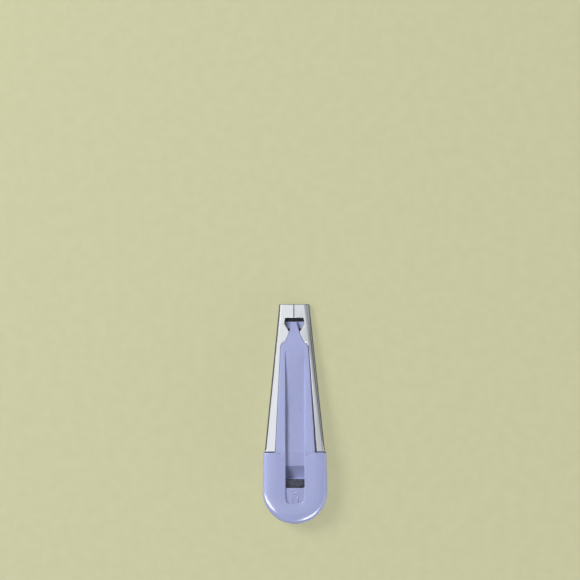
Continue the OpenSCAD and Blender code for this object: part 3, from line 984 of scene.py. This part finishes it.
# %% The floor
bm = bmesh.new()
bmesh.ops.create_grid(bm, x_segments=1, y_segments=1, size=1.0)
bmesh.ops.translate(bm, verts=bm.verts, vec=(0, 0, -0.00005))
stand = as_object(bm, "floor")
pale, nodes, links, shader, place = new_material("pale_floor")
mirrored = nodes.new("ShaderNodeLightPath").outputs["Is Glossy Ray"]
patches = fade(noise((260, 260, 260), 4), 0.3, 0.7)
links.new(blend(mirrored, (0.15, 0.15, 0.092), (0.08, 0.08, 0.07)), shader.inputs["Base Color"])
links.new(blend(patches, (0.435, 0.435, 0.267), (0.455, 0.455, 0.283)), shader.inputs["Emission Color"])
links.new(fade(mirrored, 0, 1, 0.9, 0), shader.inputs["Emission Strength"])
shader.inputs["Roughness"].default_value = 0.9
dress(pale, stand)

# %% The lamps
LAMP_AWAY = 0.9


def lamp(name, azimuth, elevation, wide, high, radiance, roll=0):
    """A soft lamp of an even radiance, aimed at the tool. Roll lifts its side with the higher azimuth."""
    data = bpy.data.lights.new(name, "AREA")
    data.shape, data.size, data.size_y = "RECTANGLE", wide, high
    data.energy = radiance * math.pi * wide * high
    obj = bpy.data.objects.new(name, data)
    a, e = math.radians(azimuth), math.radians(elevation)
    obj.location = Vector((math.cos(a) * math.cos(e), math.sin(a) * math.cos(e), math.sin(e))) * LAMP_AWAY
    aim = obj.location.to_track_quat("Z", "Y").to_matrix() @ Matrix.Rotation(math.radians(roll), 3, "Z")
    obj.rotation_euler = aim.to_euler()
    bpy.context.scene.collection.objects.link(obj)
    return obj


for broad in (lamp("key", 150, 43, 0.4, 0.4, 19.0), lamp("rim_fill", 325, 8, 0.8, 0.2, 13.0)):
    broad.visible_glossy = False
for glint in (
    lamp("grip_glint", 199, 25, 0.68, 0.13, 20.0, 64), lamp("crown_glint", 218, 49, 0.28, 0.09, 22.0, 43),
    lamp("end_glint", 299, 36, 0.5, 0.28, 13.0, -20),
):
    glint.visible_diffuse = False
print("Lamps:", [light.name for light in bpy.data.lights])

# %% [markdown]
# ## The world
#
# Bright metal shows little but what stands round it, so the sky is drawn for its reflections:
# soft round fields of light on a dim ground, as light tents and white boards would be in a studio.
# Those overhead and on the left serve the view from above, and the others keep the sides from turning black
# when the tool is seen from elsewhere.
# What isn't mirrored is lit by a plain bright band low on the horizon, and the camera sees an even pale tone.
# A field is made from the angle between a ray's direction and the field's own, so it needs no image.

# %% The sky
world = bpy.data.worlds.new("studio")
bpy.context.scene.world = world
world.use_nodes = True
nodes, links = world.node_tree.nodes, world.node_tree.links
ways = nodes.new("ShaderNodeTexCoord").outputs["Generated"]


def field(direction, inner, outer, inside, outside):
    """A soft round patch of the sky about a direction: its half angles in degrees, and its colours."""
    toward = nodes.new("ShaderNodeVectorMath")
    toward.operation = "DOT_PRODUCT"
    toward.inputs[1].default_value = Vector(direction).normalized()
    links.new(ways, toward.inputs[0])
    start, end = (math.cos(math.radians(angle)) for angle in (outer, inner))
    return blend(fade(toward.outputs["Value"], start, end), outside, inside)


DIM, OVERHEAD, AROUND = (0.15, 0.155, 0.17), (0.5, 0.51, 0.53), (0.58, 0.59, 0.61)
RIGHT, LEFT = (1.2, 1.22, 1.25), (1.03, 1.05, 1.08)
reflected = field((-0.05, 0.17, 1), 12, 55, OVERHEAD, DIM)
for direction, inner, outer, colour in (
    ((-0.3, 0.8, 0.45), 14, 34, AROUND), ((0.6, -0.7, 0.35), 14, 34, AROUND),
    ((1, -0.2, 0.18), 10, 26, RIGHT), ((-0.5, 0.17, 1), 27.5, 33.5, LEFT), ((-0.8, 0.14, 0.72), 20, 27, LEFT),
):
    reflected = field(direction, inner, outer, colour, reflected)
lighting = field((0, 0, 1), 70, 78, (0.13, 0.135, 0.145), (1.5, 1.5, 1.5))
seen = nodes.new("ShaderNodeLightPath").outputs
sky = blend(seen["Is Glossy Ray"], lighting, reflected)
links.new(blend(seen["Is Camera Ray"], sky, (0.86, 0.86, 0.82)), nodes["Background"].inputs["Color"])
print("The sky has", len(nodes), "nodes")

# %% [markdown]
# ## The camera
#
# The tool is seen from straight above, so the camera hangs over it with a long lens,
# which keeps its sides from showing. The lens follows from how wide the view is 5 mm over the table.

# %% Hang the camera
CAMERA_AT = Vector((-0.00148, 0.04276, 1.2))
VIEW_WIDTH, VIEW_HEIGHT, SENSOR, TURN = 0.2001, 0.005, 36, -0.2
camera = bpy.data.objects.new("camera", bpy.data.cameras.new("camera"))
bpy.context.scene.collection.objects.link(camera)
camera.data.lens = SENSOR * (CAMERA_AT.z - VIEW_HEIGHT) / VIEW_WIDTH
camera.location = CAMERA_AT
camera.rotation_euler = (0, 0, math.radians(TURN))
bpy.context.scene.camera = camera
bpy.context.scene.view_settings.view_transform = "Standard"
print("The lens is", round(camera.data.lens, 1), "mm")
